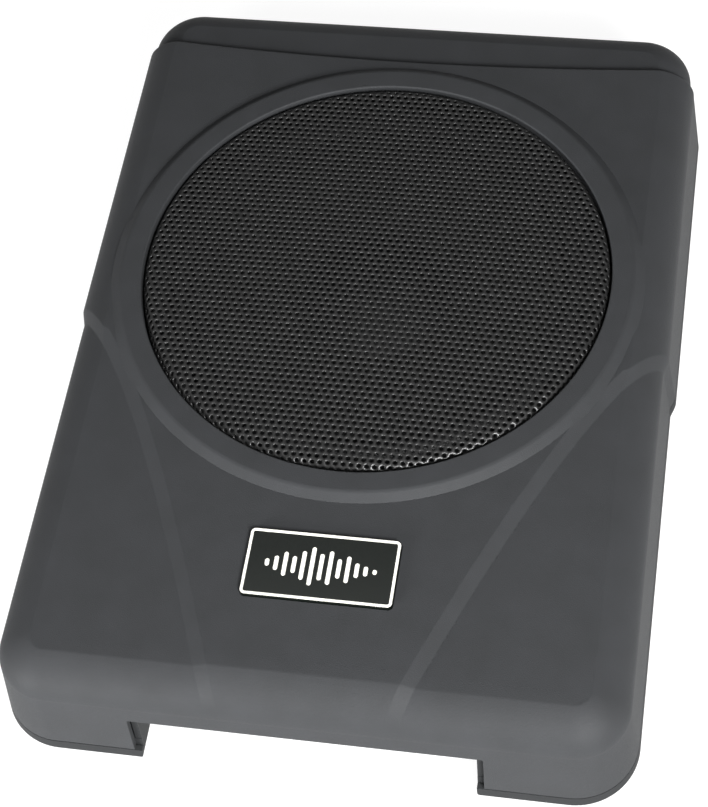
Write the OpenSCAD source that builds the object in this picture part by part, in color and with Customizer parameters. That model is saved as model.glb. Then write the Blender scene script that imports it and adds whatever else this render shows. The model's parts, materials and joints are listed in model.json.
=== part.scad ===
// Slim powered subwoofer for under a car seat: a drafted plastic cover over a shallow tray,
// an 8 inch woofer under a round steel grille, an amplifier board, and a connector bay that is
// notched into the front wall. Origin: centre of the footprint, at the underside of the feet.
// +X is right, +Y runs from the connector bay to the grille end, +Z is up.

/* [Body] */
// Overall width, across the raised saddle
body_w = 250; // [245:1:310]
// Overall length, front to rear
body_l = 345; // [340:1:420]
// Plan radius of the corners, at the tray
corner_r = 25; // [23:0.5:32]
// Thickness of the cover and tray walls
wall = 2.5; // [2:0.1:3.2]
// Height of the crease in the side walls, above the tray's underside
crease_h = 35.3; // [33:0.1:44]
// How far the walls lean in between the underside and the crease
draft_in = 3.9; // [3:0.1:5]
// Width of the rounded shoulder above the crease
shoulder_w = 15; // [12:0.1:16]
// Height of the low side panels, above the tray's underside
side_h = 50; // [49:0.1:60]
// Height of the saddle above the side panels
saddle_rise = 2.5; // [1.5:0.1:3]
// How far the saddle stands out from the side walls
saddle_side = 1.8; // [1:0.1:2.5]
// Width of the sloped edge along the saddle's two ridges
ridge_w = 5; // [4:0.1:8]
// Distance from the rear end to the middle of the saddle's rear edge
saddle_rear = 34.5; // [30:0.5:45]

/* [Tray] */
// Height of the tray's outer wall
tray_h = 5.75; // [5:0.05:8]
// Thickness of the tray floor
floor_t = 2.5; // [2:0.1:3]
// Thickness of the foam seal between the tray and the cover
seal_t = 0.6; // [0.4:0.1:1]
// Height of the locating lip above the tray wall
lip_h = 4; // [3:0.1:6]
// Thickness of the locating lip
lip_t = 1.6; // [1.2:0.1:2]
// Height of the rubber feet
foot_h = 2.5; // [2:0.1:5]
// Radius of the rubber feet
foot_r = 9; // [7:0.5:10]

/* [Connector bay] */
// Clear width of the bay
bay_w = 128.6; // [128.6:0.1:160]
// Clear height of the bay's roof, above the tray's underside
bay_h = 24.7; // [24:0.1:28]
// Distance from the front end to the panel
bay_d = 28.5; // [26:0.5:34]
// Thickness of the bay's side walls and roof
bay_wall = 2.5; // [2:0.1:3]
// Thickness of the control panel
panel_t = 1.5; // [1:0.1:2]
// Width of the flange that the panel is screwed to
panel_flange = 5; // [5:0.5:8]

/* [Speaker] */
// Distance of the speaker's axis behind the middle of the body
speaker_y = 26; // [22:0.5:30]
// Radius of the round opening in the cover
opening_r = 95.7; // [79:0.05:98]
// Width of the flat top of the ring round the opening
ring_flat = 8.8; // [7:0.1:9.5]
// Width of the ring's outer slope
ring_slope = 3.7; // [2:0.1:4.5]
// Height of the ring above the saddle
ring_rise = 2.7; // [1.5:0.1:3.5]
// Depth of the woofer's flange below the top of the ring
flange_drop = 11.7; // [11.7:0.1:14]
// Thickness of the seat that the flange rests on
ledge_t = 2.2; // [2:0.1:3]
// Width of that seat, from the opening in to its hole
ledge_w = 7.7; // [7.2:0.1:7.7]
// Longest stroke of the cone each way
cone_stroke = 5; // [3:0.5:5]

/* [Grille] */
// Thickness of the grille sheet
grille_t = 1; // [0.8:0.1:1.2]
// Height of the grille's crown
grille_crown = 1.8; // [1:0.1:3]
// Radius of the grille's rolled rim
grille_roll = 3.5; // [2.5:0.1:4]

/* [Badge] */
// Length of the badge
badge_l = 57.6; // [50:0.1:65]
// Height of the badge
badge_w = 28; // [24:0.1:32]
// Thickness of the badge
badge_t = 2; // [1.5:0.1:3]
// Distance of the badge in front of the middle of the body
badge_y = 111; // [108:0.5:118]

/* [Controls] */
// Radius of the knobs
knob_r = 4; // [3.5:0.1:4.2]
// Length of the knobs
knob_l = 8; // [6:0.5:10]
// Travel of the phase switch
switch_travel = 3; // [2:0.1:3.5]

/* [Hidden] */

$fn = 96;
// general gap between separate pieces
gap = 0.3;
// gap round a screw or a pin in its hole
hole_gap = 0.05;
// overshoot of a cutting shape
past = 1;

base_w = body_w - 2 * saddle_side;
// heights above the ground
under_z = foot_h;
floor_z = under_z + floor_t;
part_z = under_z + tray_h;
crease_z = under_z + crease_h;
side_z = under_z + side_h;
saddle_z = side_z + saddle_rise;
ring_z = saddle_z + ring_rise;
bay_z = under_z + bay_h;

front_y = -body_l / 2;
panel_y = front_y + bay_d;
panel_back_y = panel_y + panel_t;
bay_out_w = bay_w + 2 * bay_wall;
baffle_r = opening_r - ledge_w;

/* ---- helpers ---- */

// points of a cubic curve with four control points
function curve(p, steps) = [for (i = [0 : steps]) let (t = i / steps, u = 1 - t)
    u * u * u * p[0] + 3 * u * u * t * p[1] + 3 * u * t * t * p[2] + t * t * t * p[3]];
function mirrored(points) = [for (i = [len(points) - 1 : -1 : 0]) [-points[i][0], points[i][1]]];
function unit(v) = v / norm(v);
// points moved a distance to the right of their own direction
function beside(points, distance) = [for (i = [0 : len(points) - 1]) let (
    a = points[max(i - 1, 0)], b = points[min(i + 1, len(points) - 1)], d = unit(b - a)
    ) points[i] + distance * [d[1], -d[0]]];

module at_speaker(z = 0) { translate([0, speaker_y, z]) children(); }

module around(count, radius, start = 0) {
    for (i = [0 : count - 1])
        rotate(start + i * 360 / count) translate([radius, 0, 0]) children();
}

module tube(r_out, r_in, h) {
    difference() {
        cylinder(r = r_out, h = h);
        translate([0, 0, -past]) cylinder(r = r_in, h = h + 2 * past);
    }
}

// a cylinder whose axis runs towards +Y, from y to y + h
module lying(r, y, h, sides = 48) {
    translate([0, y, 0]) rotate([-90, 0, 0]) cylinder(r = r, h = h, $fn = sides);
}

// a block given by its middle in x and z and its ends in y
module block(x, z, w, h, y0, y1) { translate([x - w / 2, y0, z - h / 2]) cube([w, y1 - y0, h]); }

// pan head screw pointing down, with the underside of its head at z = 0
module screw(r, length, head_r, head_h) {
    difference() {
        union() {
            translate([0, 0, -length]) cylinder(r = r, h = length + head_h / 2, $fn = 32);
            cylinder(r = head_r, h = head_h, $fn = 32);
        }
        for (a = [0, 90]) rotate(a)
            translate([-head_r * 0.55, -head_r * 0.12, head_h * 0.55])
                cube([head_r * 1.1, head_r * 0.24, head_h]);
    }
}

// round tube swept along a list of points, closed at both ends
module swept(path, r, sides = 8) {
    last = len(path) - 1;
    rings = [for (i = [0 : last]) let (
        d = unit(path[min(i + 1, last)] - path[max(i - 1, 0)]),
        side = unit(cross(d, [1, 0.13, 0.07])),
        up = cross(d, side)
        ) for (k = [0 : sides - 1])
            path[i] + r * (cos(k * 360 / sides) * side + sin(k * 360 / sides) * up)];
    polyhedron(rings, concat(
        [[for (k = [0 : sides - 1]) k]],
        [for (i = [0 : last - 1]) for (k = [0 : sides - 1]) let (n = (k + 1) % sides)
            [i * sides + n, i * sides + k, (i + 1) * sides + k, (i + 1) * sides + n]],
        [[for (k = [sides - 1 : -1 : 0]) last * sides + k]]));
}

/* ---- outer form ---- */

// half section of the walls: straight and drafted to the crease, then a rounded shoulder that stops
// short of level, so that a soft edge shows where it meets the top
shoulder_turn = 70;
function section(reach, z0, crease, top, steps = 6) = concat([[reach, z0]],
    [for (i = [0 : steps]) let (a = shoulder_turn * i / steps)
        [reach - draft_in - shoulder_w * (1 - cos(a)) / (1 - cos(shoulder_turn)),
            crease + (top - crease) * sin(a) / sin(shoulder_turn)]]);

module section_slab(reach, length, z0, crease, top) {
    half = section(reach, z0, crease, top);
    rotate([90, 0, 0]) linear_extrude(length, center = true)
        polygon(concat(half, mirrored(half)));
}

// body form without the saddle, with every face moved in by inset
module base_form(inset = 0, z0 = under_z) {
    w = base_w - 2 * inset;
    l = body_l - 2 * inset;
    r = corner_r - inset;
    crease = crease_z - inset / 2;
    top = side_z - inset;
    section_slab(w / 2, l - 2 * r, z0, crease, top);
    rotate(90) section_slab(l / 2, w - 2 * r, z0, crease, top);
    for (i = [0 : 3]) let (sx = i == 0 || i == 3 ? 1 : -1, sy = i < 2 ? 1 : -1)
        translate([sx * (w / 2 - r), sy * (l / 2 - r), 0]) rotate(90 * i)
            rotate_extrude(angle = 90)
                polygon(concat([[0, z0]], section(r, z0, crease, top), [[0, top]]));
}

// bow of the saddle's rear edge
rear_bow = 5.8;
// plan of the saddle: right ridge, bowed rear edge, left ridge; spread moves the ridges out
ridge_line = curve([[29, front_y], [56, front_y + 73], [95, -3.5], [body_w / 2 + 1, 8]], 14);
function saddle_plan(spread) = let (
    ridge = beside(ridge_line, spread),
    rear_y = body_l / 2 - saddle_rear,
    rear = [for (i = [0 : 8]) let (x = (body_w / 2 + 3) * (1 - i / 4))
        [x, rear_y + rear_bow * pow(2 * x / body_w, 2)]],
    front = [[ridge[0][0], front_y - 2 * ridge_w]]
    ) concat(front, ridge, rear, mirrored(ridge), mirrored(front));

// the ridges stand straight here, along the middle of their sloped edge
module saddle_form() {
    hair = 0.6;
    intersection() {
        section_slab(body_w / 2, body_l, under_z, crease_z, saddle_z);
        rotate(90) section_slab(body_l / 2 - hair, body_w + 2, under_z, crease_z, saddle_z);
        linear_extrude(saddle_z + past) polygon(saddle_plan(ridge_w / 2));
    }
}

module outer_form() {
    base_form();
    saddle_form();
}

module above(z) { translate([-body_w, -body_l, z]) cube([2 * body_w, 2 * body_l, 2 * body_l]); }
module below(z) { translate([-body_w, -body_l, z - body_l]) cube([2 * body_w, 2 * body_l, body_l]); }

// the bay's space, grown by more on its sides and roof, from in front of the body back to y
module bay_space(more, y) {
    w = bay_w + 2 * more;
    translate([-w / 2, front_y - past, under_z - past])
        cube([w, y - front_y + past, bay_h + more + past]);
}

/* ---- fastener places ---- */

screw_r = 1.5;
screw_head_r = 3.2;
screw_head_h = 2.2;
// on each side: one cover screw beside the bay, two along the side wall, one at the rear
function cover_screw_places() = [
    [bay_out_w / 2 + 11.7, front_y + 20.5], [base_w / 2 - 12, -40], [base_w / 2 - 12, 80],
    [base_w / 4, body_l / 2 - 14]];
screw_head_z = under_z + 1;
post_r = 4;
boss_r = 6;
post_z = floor_z + 4;
screw_hole_h = 15;

module at_pairs(places) { for (p = places) for (s = [-1, 1]) translate([s * p[0], p[1], 0]) children(); }

// four threaded holes for the car's brackets
bracket_x = 220;
bracket_y = 240;
thread_r = 2.1;
insert_r = 3.5;
insert_h = 8;
module at_brackets() {
    for (x = [-1, 1]) for (y = [-1, 1]) translate([x * bracket_x / 2, y * bracket_y / 2, 0]) children();
}

foot_places = [[base_w / 2 - 21, front_y + 20], [base_w / 2 - 21, body_l / 2 - 20]];

panel_screw_x = (bay_w - panel_flange) / 2;
panel_screw_z = [under_z + 4.3, bay_z - 4];
panel_screw_r = 1.2;
module at_panel_screws() {
    for (x = [-1, 1]) for (z = panel_screw_z) translate([x * panel_screw_x, 0, z]) children();
}

/* ---- casing ---- */

bore_wall = 3;
ring_top_r = opening_r + ring_flat;
ring_foot_r = ring_top_r + ring_slope;
flange_t = 2;
gasket_t = 0.8;
flange_z = ring_z - flange_drop - flange_t;
ledge_z = flange_z - gasket_t;
flange_r = opening_r - 0.9;
basket_screw_count = 8;
// the screws stand in the middle of the part of the flange that the surround and the grille leave free
basket_screw_ring = opening_r - 5.2;
basket_screw_r = 1.3;
pocket_d = 0.5;

module at_basket_screws() {
    around(basket_screw_count, basket_screw_ring, 180 / basket_screw_count) children();
}

module badge_block(grow, h) {
    r = 2;
    w = badge_l + 2 * grow;
    d = badge_w + 2 * grow;
    for (size = [[w - 2 * r, d], [w, d - 2 * r]])
        translate([-size[0] / 2, -size[1] / 2, 0]) cube([size[0], size[1], h]);
    for (x = [-1, 1]) for (y = [-1, 1])
        translate([x * (w / 2 - r), y * (d / 2 - r), 0]) cylinder(r = r, h = h, $fn = 32);
}

module cover_shell() {
    difference() {
        outer_form();
        below(part_z + seal_t);
        base_form(wall, 0);
    }
}

module speaker_well() {
    at_speaker() {
        translate([0, 0, ledge_z - ledge_t])
            cylinder(r = opening_r + bore_wall, h = ring_z - ledge_z + ledge_t - past);
        rotate_extrude() polygon([[opening_r - past, side_z - wall], [ring_foot_r, side_z - wall],
            [ring_foot_r, saddle_z], [ring_top_r, ring_z], [opening_r - past, ring_z]]);
    }
}

module cover_posts() {
    intersection() {
        base_form(wall / 2, 0);
        at_pairs(cover_screw_places()) translate([0, 0, post_z])
            cylinder(r = post_r, h = side_z, $fn = 48);
    }
}

module top_cover() {
    color("#3d3e40") difference() {
        union() {
            cover_shell();
            speaker_well();
            cover_posts();
        }
        at_speaker() {
            translate([0, 0, ledge_z]) cylinder(r = opening_r, h = ring_z, $fn = 192);
            translate([0, 0, ledge_z - ledge_t - past]) cylinder(r = baffle_r, h = ring_z, $fn = 192);
            at_basket_screws() translate([0, 0, ledge_z - ledge_t - past])
                cylinder(r = basket_screw_r + hole_gap, h = ledge_t + 2 * past, $fn = 24);
        }
        bay_space(bay_wall + gap, front_y + corner_r);
        translate([0, -badge_y, saddle_z - pocket_d]) badge_block(gap, badge_t + past);
        at_pairs(cover_screw_places()) translate([0, 0, post_z - past])
            cylinder(r = screw_r + hole_gap, h = screw_hole_h + past, $fn = 24);
    }
}

// the tray's floor, outer wall and the lip inside the cover
module tray_pan() {
    difference() {
        intersection() {
            outer_form();
            below(part_z);
        }
        base_form(wall, 0);
    }
    intersection() {
        base_form(wall / 2);
        below(floor_z);
    }
    difference() {
        intersection() {
            base_form(wall + gap, under_z);
            below(part_z + lip_h);
        }
        base_form(wall + gap + lip_t, 0);
    }
}

// side walls and roof of the bay, and the two flanges that the panel is screwed to
// their front ends stand just behind the cover's front wall
module bay_shroud() {
    flange_back = panel_back_y + 8;
    intersection() {
        base_form(wall + gap);
        difference() {
            bay_space(bay_wall, flange_back);
            bay_space(0, panel_back_y);
            translate([-bay_w / 2 + panel_flange, panel_back_y - past, under_z - 2 * past])
                cube([bay_w - 2 * panel_flange, 20, bay_h + 2 * past]);
        }
    }
}

board_t = 1.6;
board_z = floor_z + 2;
board_top = board_z + board_t;
board_w = 196;
board_y0 = panel_back_y + 10.5;
board_y1 = board_y0 + 52;
board_screw_r = 1.4;
board_screw_places = [[board_w / 2 - 8, board_y0 + 6], [board_w / 2 - 8, board_y1 - 6], [24, board_y0 + 6]];

module tray_boss(r, h) { translate([0, 0, under_z]) cylinder(r = r, h = h); }

module bottom_tray() {
    color("#2e2f30") difference() {
        union() {
            tray_pan();
            bay_shroud();
            at_pairs(cover_screw_places()) tray_boss(boss_r, post_z - gap - under_z);
            at_brackets() tray_boss(boss_r, insert_h + 1.5);
            at_pairs(board_screw_places) tray_boss(post_r, board_z - under_z);
        }
        bay_space(0, panel_back_y);
        at_pairs(cover_screw_places()) translate([0, 0, under_z - past]) {
            cylinder(r = screw_r + gap, h = post_z, $fn = 24);
            cylinder(r = screw_head_r + 0.4, h = past + screw_head_z - under_z + screw_head_h, $fn = 48);
        }
        at_brackets() translate([0, 0, under_z - past]) cylinder(r = insert_r, h = insert_h + past, $fn = 48);
        at_pairs(board_screw_places) translate([0, 0, under_z + 1])
            cylinder(r = board_screw_r + hole_gap, h = board_z, $fn = 24);
        at_panel_screws() lying(panel_screw_r + hole_gap, panel_y, 7.5, 24);
    }
}

module cover_seal() {
    setback = 1;
    color("#161616") difference() {
        intersection() {
            base_form(setback);
            above(part_z);
            below(part_z + seal_t);
        }
        base_form(wall, 0);
        bay_space(bay_wall + gap, front_y + corner_r);
    }
}

module rubber_feet() {
    color("#1b1b1b") at_pairs(foot_places) {
        cylinder(r = foot_r, h = foot_h);
    }
}

module bracket_inserts() {
    color("goldenrod") at_brackets() translate([0, 0, under_z]) difference() {
        cylinder(r = insert_r, h = insert_h, $fn = 48);
        translate([0, 0, -past]) cylinder(r = thread_r, h = insert_h + 2 * past, $fn = 48);
    }
}

module cover_screws() {
    color("#2a2a2c") at_pairs(cover_screw_places()) translate([0, 0, screw_head_z + screw_head_h])
        rotate([180, 0, 0]) screw(screw_r, 12, screw_head_r, screw_head_h);
}

/* ---- grille and badge ---- */

grille_r = opening_r - 0.7;
grille_edge_z = ring_z - 0.3;
grille_foot_z = flange_z + flange_t + 4;

function grille_line(t) = let (flat_r = grille_r - grille_roll) concat(
    [for (i = [0 : 6]) let (r = flat_r * i / 6) [r, grille_edge_z + grille_crown * (1 - pow(i / 6, 2)) - t]],
    [for (i = [1 : 5]) let (a = 90 - 18 * i, r = grille_roll - t)
        [flat_r + r * cos(a), grille_edge_z - grille_roll + r * sin(a)]],
    [[grille_r - t, grille_foot_z]]);

module grille() {
    outside = grille_line(0);
    inside = grille_line(grille_t);
    color("#1a1a1b") at_speaker() rotate_extrude($fn = 192)
        polygon(concat(outside, [for (i = [len(inside) - 1 : -1 : 0]) inside[i]]));
}

module grille_seal() {
    color("#101010") at_speaker(flange_z + flange_t)
        tube(grille_r + 0.2, grille_r - 1.7, grille_foot_z - flange_z - flange_t);
}

module badge_plate() {
    color("#0e1110") translate([0, -badge_y, saddle_z - pocket_d]) badge_block(0, badge_t);
}

/* ---- woofer, with z = 0 at the underside of its flange ---- */

basket_d = 14;
rim_r = baffle_r - 0.5;
rim_wall = 2.5;
seat_r = 60;
plate_r = 44;
plate_t = 6;
magnet_r = 46;
magnet_t = 11;
yoke_r = 42;
yoke_t = 5;
pole_r = 24;
vent_r = 6;
former_r = 24.9;
former_t = 0.5;
coil_t = 0.8;
roll_out = rim_r - 1.5;
roll_w = 10;
cone_r = roll_out - roll_w;
cone_t = 0.8;
neck_r = former_r + 0.4;
neck_z = -6;
cap_r = 31;
spider_z = -8;
spider_t = 0.6;

module at_driver() { at_speaker(flange_z) children(); }

module basket() {
    window_in = 64;
    window_out = rim_r - 4.5;
    window_angle = 40;
    slope_h = 8;
    color("#26272a") at_driver() difference() {
        rotate_extrude($fn = 144) polygon([
            [30, -basket_d], [seat_r, -basket_d], [rim_r, -basket_d + slope_h], [rim_r, 0],
            [flange_r, 0], [flange_r, flange_t], [rim_r - rim_wall, flange_t],
            [rim_r - rim_wall, -basket_d + slope_h + 1.9], [seat_r + 2, -basket_d + 3.2],
            [seat_r + 2, spider_z],
            [seat_r - 4, spider_z], [seat_r - 4, -basket_d + 2.5], [30, -basket_d + 2.5]]);
        for (i = [0 : 5]) rotate(60 * i - 90 - window_angle / 2) rotate_extrude(angle = window_angle)
            translate([window_in, -basket_d - past])
                square([window_out - window_in, basket_d + flange_t + 2 * past]);
        at_basket_screws() translate([0, 0, -past])
            cylinder(r = basket_screw_r + gap, h = flange_t + 2 * past, $fn = 24);
    }
}

module basket_gasket() {
    color("#101010") at_driver() difference() {
        translate([0, 0, -gasket_t]) tube(flange_r, baffle_r, gasket_t);
        at_basket_screws() translate([0, 0, -gasket_t - past])
            cylinder(r = basket_screw_r + gap, h = gasket_t + 2 * past, $fn = 24);
    }
}

module basket_screws() {
    color("#2a2a2c") at_driver() at_basket_screws()
        translate([0, 0, flange_t]) screw(basket_screw_r, 5.5, 2.4, 1.8);
}

// half roll with flat lips, glued to the flange outside and to the cone inside
module surround() {
    lip = 0.8;
    mid = (cone_r + roll_out) / 2;
    r = roll_w / 2;
    edge = 1.8;
    tail = 3.5;
    rise = 0.9;
    base = flange_t;
    color("#18181a") at_driver() rotate_extrude($fn = 144) polygon(concat(
        [[cone_r - tail, base], [cone_r - tail, base + lip]],
        [for (i = [0 : 10]) let (a = 180 - 18 * i) [mid + r * cos(a), base + lip + r * rise * sin(a)]],
        [[roll_out + edge, base + lip], [roll_out + edge, base]],
        [for (i = [0 : 10]) let (a = 18 * i) [mid + (r - lip) * cos(a), base + (r - lip) * rise * sin(a)]]));
}

// lowered by a hair so that it only just clears the surround's lip
cone_hair = 0.05;
cone_span = cone_r - neck_r;
cone_line = curve([[neck_r, neck_z], [neck_r + 0.33 * cone_span, neck_z + 1.8],
    [neck_r + 0.685 * cone_span, neck_z + 5.2], [cone_r, flange_t - cone_hair]], 8);
module cone() {
    color("#1d1d1f") at_driver() rotate_extrude($fn = 144)
        polygon(concat(cone_line, [for (i = [len(cone_line) - 1 : -1 : 0]) cone_line[i] - [0, cone_t]]));
}

// a dome that stands on the cone
module dust_cap() {
    cap_h = 6.5;
    cap_t = 0.8;
    steps = 8;
    seat = lookup(cap_r, cone_line) + 2 * cone_hair;
    dome = [for (i = [0 : steps]) let (a = 90 * i / steps) [cap_r * i / steps, seat + cap_h * cos(a)]];
    hollow = [for (i = [steps : -1 : 0]) let (a = 90 * i / steps)
        [(cap_r - cap_t) * i / steps, seat - cone_hair + (cap_h - cap_t) * cos(a)]];
    color("#151516") at_driver() rotate_extrude($fn = 96) polygon(concat(dome, hollow));
}

// at full stroke the former stops this far above the yoke
former_clear = 1;
former_z = -basket_d - plate_t - magnet_t + cone_stroke + former_clear;
coil_h = 12;
coil_rise = 2;
module coil_former() {
    color("#c9a36a") at_driver() translate([0, 0, former_z])
        tube(former_r, former_r - former_t, neck_z + 0.5 - former_z);
}

module voice_coil() {
    color("#b4703a") at_driver() translate([0, 0, former_z + coil_rise])
        tube(former_r + coil_t, former_r, coil_h);
}

// corrugated cloth disc between the basket's inner seat and the coil former
module spider() {
    start = former_r + hole_gap;
    end = seat_r + 1;
    steps = 40;
    waves = 4;
    line = [for (i = [0 : steps]) let (s = i / steps, fade = s > 0.86 ? 0 : 1)
        [start + (end - start) * s, spider_z + 0.9 * fade * (1 - cos(360 * waves * s / 0.86)) / 2]];
    color("#a58f56") at_driver() rotate_extrude()
        polygon(concat(line, [for (i = [steps : -1 : 0]) line[i] + [0, spider_t]]));
}

module top_plate() {
    color("#9a9da1") at_driver() translate([0, 0, -basket_d - plate_t])
        tube(plate_r, former_r + coil_t + 0.4, plate_t);
}

module magnet() {
    color("#3a3a3d") at_driver() translate([0, 0, -basket_d - plate_t - magnet_t])
        tube(magnet_r, 28, magnet_t);
}

module yoke() {
    base = -basket_d - plate_t - magnet_t;
    color("#9a9da1") at_driver() difference() {
        union() {
            translate([0, 0, base - yoke_t]) cylinder(r = yoke_r, h = yoke_t);
            translate([0, 0, base - 1]) cylinder(r = pole_r, h = magnet_t + plate_t + 1);
        }
        translate([0, 0, base - yoke_t - past]) cylinder(r = vent_r, h = 60, $fn = 48);
    }
}

strip_y = -(seat_r - 6);
tab_x = 6;
module terminal_strip() {
    color("#5b3a22") at_driver() block(0, -basket_d - 1.5, 22, 3, strip_y - 5, strip_y + 5);
}

module terminal_tabs() {
    color("goldenrod") at_driver() for (x = [-tab_x, tab_x])
        translate([x - 2.4, strip_y - 0.4, -basket_d - 8]) cube([4.8, 0.8, 5]);
}

module tinsel_leads() {
    lead_r = 0.5;
    color("#b98a4a") at_driver() for (x = [-8, 8])
        swept(curve([[x, strip_y - 5.6, -16], [x, -72, -16], [x, -73, -5], [x, -67.5, -1.6]], 10), lead_r, 6);
}

header_x = 30;
header_y = board_y1 - 9;
header_h = 7;
wire_r = 1.1;
module speaker_wire(side) {
    from = [header_x + side * 2.5, header_y + 4.2, board_top + 4];
    to = [side * tab_x, speaker_y + strip_y - 1.6, flange_z - basket_d - 6];
    swept(curve([from, from + [-2, 26, 2], to + [4, -22, -4], to], 16), wire_r);
}
module speaker_wire_red() { color("#9e2420") speaker_wire(1); }
module speaker_wire_black() { color("#1c1c1c") speaker_wire(-1); }

/* ---- control panel, looking along +Y; connectors stand on the board ---- */

socket_z = board_top + 5.8;
socket_out = 4;
power_x = -47;
power_size = [20, 11];
fuse_x = -23;
fuse_size = [19, 5.2];
holder_size = fuse_size + [4, 4];
level_x = -3;
level_z = socket_z - 0.5;
level_size = [12, 10];
rca_x = [9.2, 22.7];
rca_z = board_top + 6.6;
rca_r = 4.15;
remote_x = 34.2;
remote_size = [12, 11];
knob_x = [45.2, 54.4];
pot_w = 9;
knob_z = bay_z - 7.4;
bush_r = 3;
bush_l = 3;
shaft_r = 1.5;
switch_x = 46;
switch_z = under_z + 9.2;
nub_w = 3;
nub_h = 2.4;
led_x = 54.6;
led_r = 1.5;

// openings through the panel: a rectangle with clearance all round, or a round hole
module panel_window(x, z, size, clear) {
    block(x, z, size[0] + 2 * clear, size[1] + 2 * clear, panel_y - past, panel_back_y + past);
}
module panel_hole(r) { lying(r, panel_y - past, panel_t + 2 * past); }

module control_panel() {
    edge = gap;
    color("#232425") difference() {
        translate([-bay_w / 2 + edge, panel_y, under_z + edge])
            cube([bay_w - 2 * edge, panel_t, bay_h - 2 * edge]);
        panel_window(power_x, socket_z, power_size, hole_gap);
        panel_window(level_x, level_z, level_size, hole_gap);
        panel_window(remote_x, socket_z, remote_size, hole_gap);
        panel_window(fuse_x, socket_z, holder_size, hole_gap);
        panel_window(switch_x, switch_z, [nub_w + switch_travel, nub_h], gap);
        for (x = rca_x) translate([x, 0, rca_z]) panel_hole(rca_r + hole_gap);
        for (x = knob_x) translate([x, 0, knob_z]) panel_hole(bush_r + hole_gap);
        translate([led_x, 0, switch_z]) panel_hole(led_r + hole_gap);
        at_panel_screws() panel_hole(panel_screw_r + gap);
    }
}

module panel_screws() {
    color("#2a2a2c") at_panel_screws() translate([0, panel_y, 0])
        rotate([90, 0, 0]) screw(panel_screw_r, 7, 2.3, 1.6);
}

// rectangular shell on the panel, open towards the front
module socket(x, z, size, shell, depth, back) {
    front = panel_y - socket_out;
    difference() {
        block(x, z, size[0], size[1], front, back);
        block(x, z, size[0] - 2 * shell, size[1] - 2 * shell, front - past, front + depth);
    }
}

socket_back = panel_back_y + 12;
power_depth = 15;
module power_socket() {
    color("#d9d8d2") socket(power_x, socket_z, power_size, 1.2, power_depth, socket_back);
}
module power_pins() {
    end = panel_y - socket_out + power_depth;
    color("gold") for (i = [0 : 3]) block(power_x - 6.75 + 4.5 * i, socket_z, 0.8, 5, end - 6.5, end);
}

level_depth = 13;
module speaker_level_socket() {
    color("#e4e2da") socket(level_x, level_z, level_size, 1.1, level_depth, socket_back);
}
module speaker_level_pins() {
    end = panel_y - socket_out + level_depth;
    color("gold") for (i = [0 : 3]) block(level_x - 3.3 + 2.2 * i, level_z, 0.7, 0.7, end - 5.5, end);
}

module remote_port() {
    color("#2b2c2e") socket(remote_x, socket_z, remote_size, 1.4, 13, socket_back);
}

module fuse_holder() {
    front = panel_y - 3;
    color("#1b1c1d") difference() {
        block(fuse_x, socket_z, holder_size[0], holder_size[1], front, socket_back);
        block(fuse_x, socket_z, fuse_size[0] + 2 * gap, fuse_size[1] + 2 * gap,
            front - past, socket_back - 2);
    }
}
module fuse() {
    front = panel_y - 7;
    color("#c8641e") {
        block(fuse_x, socket_z, fuse_size[0], fuse_size[1], front, front + 11);
        for (s = [-1, 1]) block(fuse_x + s * 6.6, socket_z, 4.6, 0.7, front + 10.9, front + 18);
    }
}

module rca_shells() {
    color("silver") for (x = rca_x) translate([x, 0, rca_z]) difference() {
        lying(rca_r, panel_y - 9.5, 11);
        lying(3.2, panel_y - 10.5, 13);
    }
}
module rca_inserts() {
    color("#e9e7e0") for (x = rca_x) translate([x, 0, rca_z]) difference() {
        lying(3.15, panel_y - 9, 10.5);
        lying(1.65, panel_y - 10, 9);
    }
    color("#2b2c2e") for (x = rca_x) block(x, rca_z - 0.6, 10.6, 12, panel_back_y, socket_back);
}
collar_r = 5.4;
collar_t = 1.6;
module rca_collar(x) {
    translate([x, 0, rca_z]) difference() {
        lying(collar_r, panel_y - collar_t, collar_t);
        lying(rca_r + hole_gap, panel_y - collar_t - past, collar_t + 2 * past);
    }
}
module rca_collar_left() { color("#efede6") rca_collar(rca_x[0]); }
module rca_collar_right() { color("#b3211f") rca_collar(rca_x[1]); }

shaft_end = panel_back_y + 4;
module pot(x) {
    translate([x, 0, knob_z]) difference() {
        union() {
            block(0, 0, pot_w, pot_w, panel_back_y, panel_back_y + 7);
            lying(bush_r, panel_y - bush_l, panel_t + bush_l + past);
        }
        lying(shaft_r + hole_gap, panel_y - bush_l - past, shaft_end - panel_y + bush_l + past + gap);
    }
}
module knob(x) {
    back = panel_y - bush_l - 0.6;
    translate([x, 0, knob_z]) {
        difference() {
            lying(knob_r, back - knob_l, knob_l);
            for (i = [0 : 17]) rotate([0, 20 * i, 0]) translate([knob_r + 0.1, 0, 0])
                lying(0.35, back - knob_l - past, knob_l - 1, 16);
            translate([-0.4, back - knob_l - past, 0.5]) cube([0.8, past + 0.6, knob_r]);
        }
        lying(shaft_r, back - past, shaft_end - back + past);
    }
}
module gain_pot() { color("#6c6f73") pot(knob_x[0]); }
module lowpass_pot() { color("#6c6f73") pot(knob_x[1]); }
module gain_knob() { color("#151515") knob(knob_x[0]); }
module lowpass_knob() { color("#151515") knob(knob_x[1]); }

module pot_nuts() {
    color("silver") for (x = knob_x) translate([x, panel_y - 1.5, knob_z]) difference() {
        rotate([-90, 0, 0]) cylinder(r = 4.4, h = 1.5, $fn = 6);
        lying(bush_r + hole_gap, -past, 1.5 + 2 * past);
    }
}

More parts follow.
